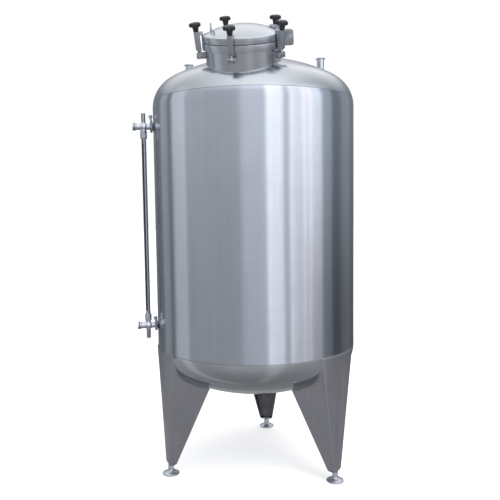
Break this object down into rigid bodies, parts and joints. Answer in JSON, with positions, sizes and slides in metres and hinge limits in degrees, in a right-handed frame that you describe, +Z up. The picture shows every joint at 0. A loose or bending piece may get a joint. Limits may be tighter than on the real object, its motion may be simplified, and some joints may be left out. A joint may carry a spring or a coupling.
{
  "type": "vertical storage tank",
  "caption": "Upright cylindrical steel storage tank with dished ends, a tilted manway held by swing clamps, a side level gauge and channel legs on round feet.",
  "frame": {"origin": "on the floor, under the middle of the part's own box", "axes": "+Z up from the floor along the tank's height; the manway leans toward -Y, the front; the level gauge stands on the -X side"},
  "size_m": [1.18, 1.1855, 2.3865],
  "materials": {
    "vessel_steel": "polished stainless steel with a fine brushed grain",
    "leg_steel": "satin stainless steel",
    "fitting_steel": "turned and polished stainless steel",
    "knob_plastic": "black moulded plastic, slightly glossy",
    "seal_rubber": "black rubber",
    "sight_glass": "clear tube"
  },
  "bodies": {
    "tank": {"bottom_head": "vessel_steel", "bottom_outlet": "fitting_steel", "clamp_lug_1": "fitting_steel", "clamp_lug_2": "fitting_steel", "clamp_lug_3": "fitting_steel", "clamp_lug_4": "fitting_steel", "clamp_lug_5": "fitting_steel", "foot_back": "fitting_steel", "foot_front_left": "fitting_steel", "foot_front_right": "fitting_steel", "gauge_glass": "sight_glass", "gauge_guard": "fitting_steel", "gauge_lower_clamp": "fitting_steel", "gauge_lower_gland": "fitting_steel", "gauge_lower_nozzle": "fitting_steel", "gauge_lower_tee": "fitting_steel", "gauge_upper_clamp": "fitting_steel", "gauge_upper_gland": "fitting_steel", "gauge_upper_nozzle": "fitting_steel", "gauge_upper_tee": "fitting_steel", "hinge_bracket": "fitting_steel", "hinge_leaf": "fitting_steel", "hinge_pin": "fitting_steel", "leg_back": "leg_steel", "leg_front_left": "leg_steel", "leg_front_right": "leg_steel", "lid_handle": "fitting_steel", "manway_lid": "fitting_steel", "manway_neck": "vessel_steel", "manway_ring": "fitting_steel", "manway_seal": "seal_rubber", "shell": "vessel_steel", "top_head": "vessel_steel", "top_port_left": "fitting_steel", "top_port_right": "fitting_steel"},
    "clamp_1": {"clamp_stud_1": "fitting_steel", "clamp_claw_1": "fitting_steel", "clamp_knob_1": "knob_plastic"},
    "clamp_2": {"clamp_stud_2": "fitting_steel", "clamp_claw_2": "fitting_steel", "clamp_knob_2": "knob_plastic"},
    "clamp_3": {"clamp_stud_3": "fitting_steel", "clamp_claw_3": "fitting_steel", "clamp_knob_3": "knob_plastic"},
    "clamp_4": {"clamp_stud_4": "fitting_steel", "clamp_claw_4": "fitting_steel", "clamp_knob_4": "knob_plastic"},
    "clamp_5": {"clamp_stud_5": "fitting_steel", "clamp_claw_5": "fitting_steel", "clamp_knob_5": "knob_plastic"}
  },
  "joints": [
    {"name": "clamp_1_swing", "type": "hinge", "parent": "tank", "child": "clamp_1", "pos_m": [0.16514, -0.18896, 2.22091], "axis": [-0.6502, 0.714, 0.2595], "range_deg": [0, 100]},
    {"name": "clamp_2_swing", "type": "hinge", "parent": "tank", "child": "clamp_2", "pos_m": [-0.07543, -0.13254, 2.23435], "axis": [-0.9227, -0.3451, -0.1716], "range_deg": [0, 100]},
    {"name": "clamp_3_swing", "type": "hinge", "parent": "tank", "child": "clamp_3", "pos_m": [-0.20432, -0.32715, 2.15219], "axis": [0.08, -0.9273, -0.3656], "range_deg": [0, 100]},
    {"name": "clamp_4_swing", "type": "hinge", "parent": "tank", "child": "clamp_4", "pos_m": [-0.04341, -0.50384, 2.08797], "axis": [0.9721, -0.228, -0.0543], "range_deg": [0, 100]},
    {"name": "clamp_5_swing", "type": "hinge", "parent": "tank", "child": "clamp_5", "pos_m": [0.18493, -0.41843, 2.13044], "axis": [0.5209, 0.7864, 0.332], "range_deg": [0, 100]}
  ]
}
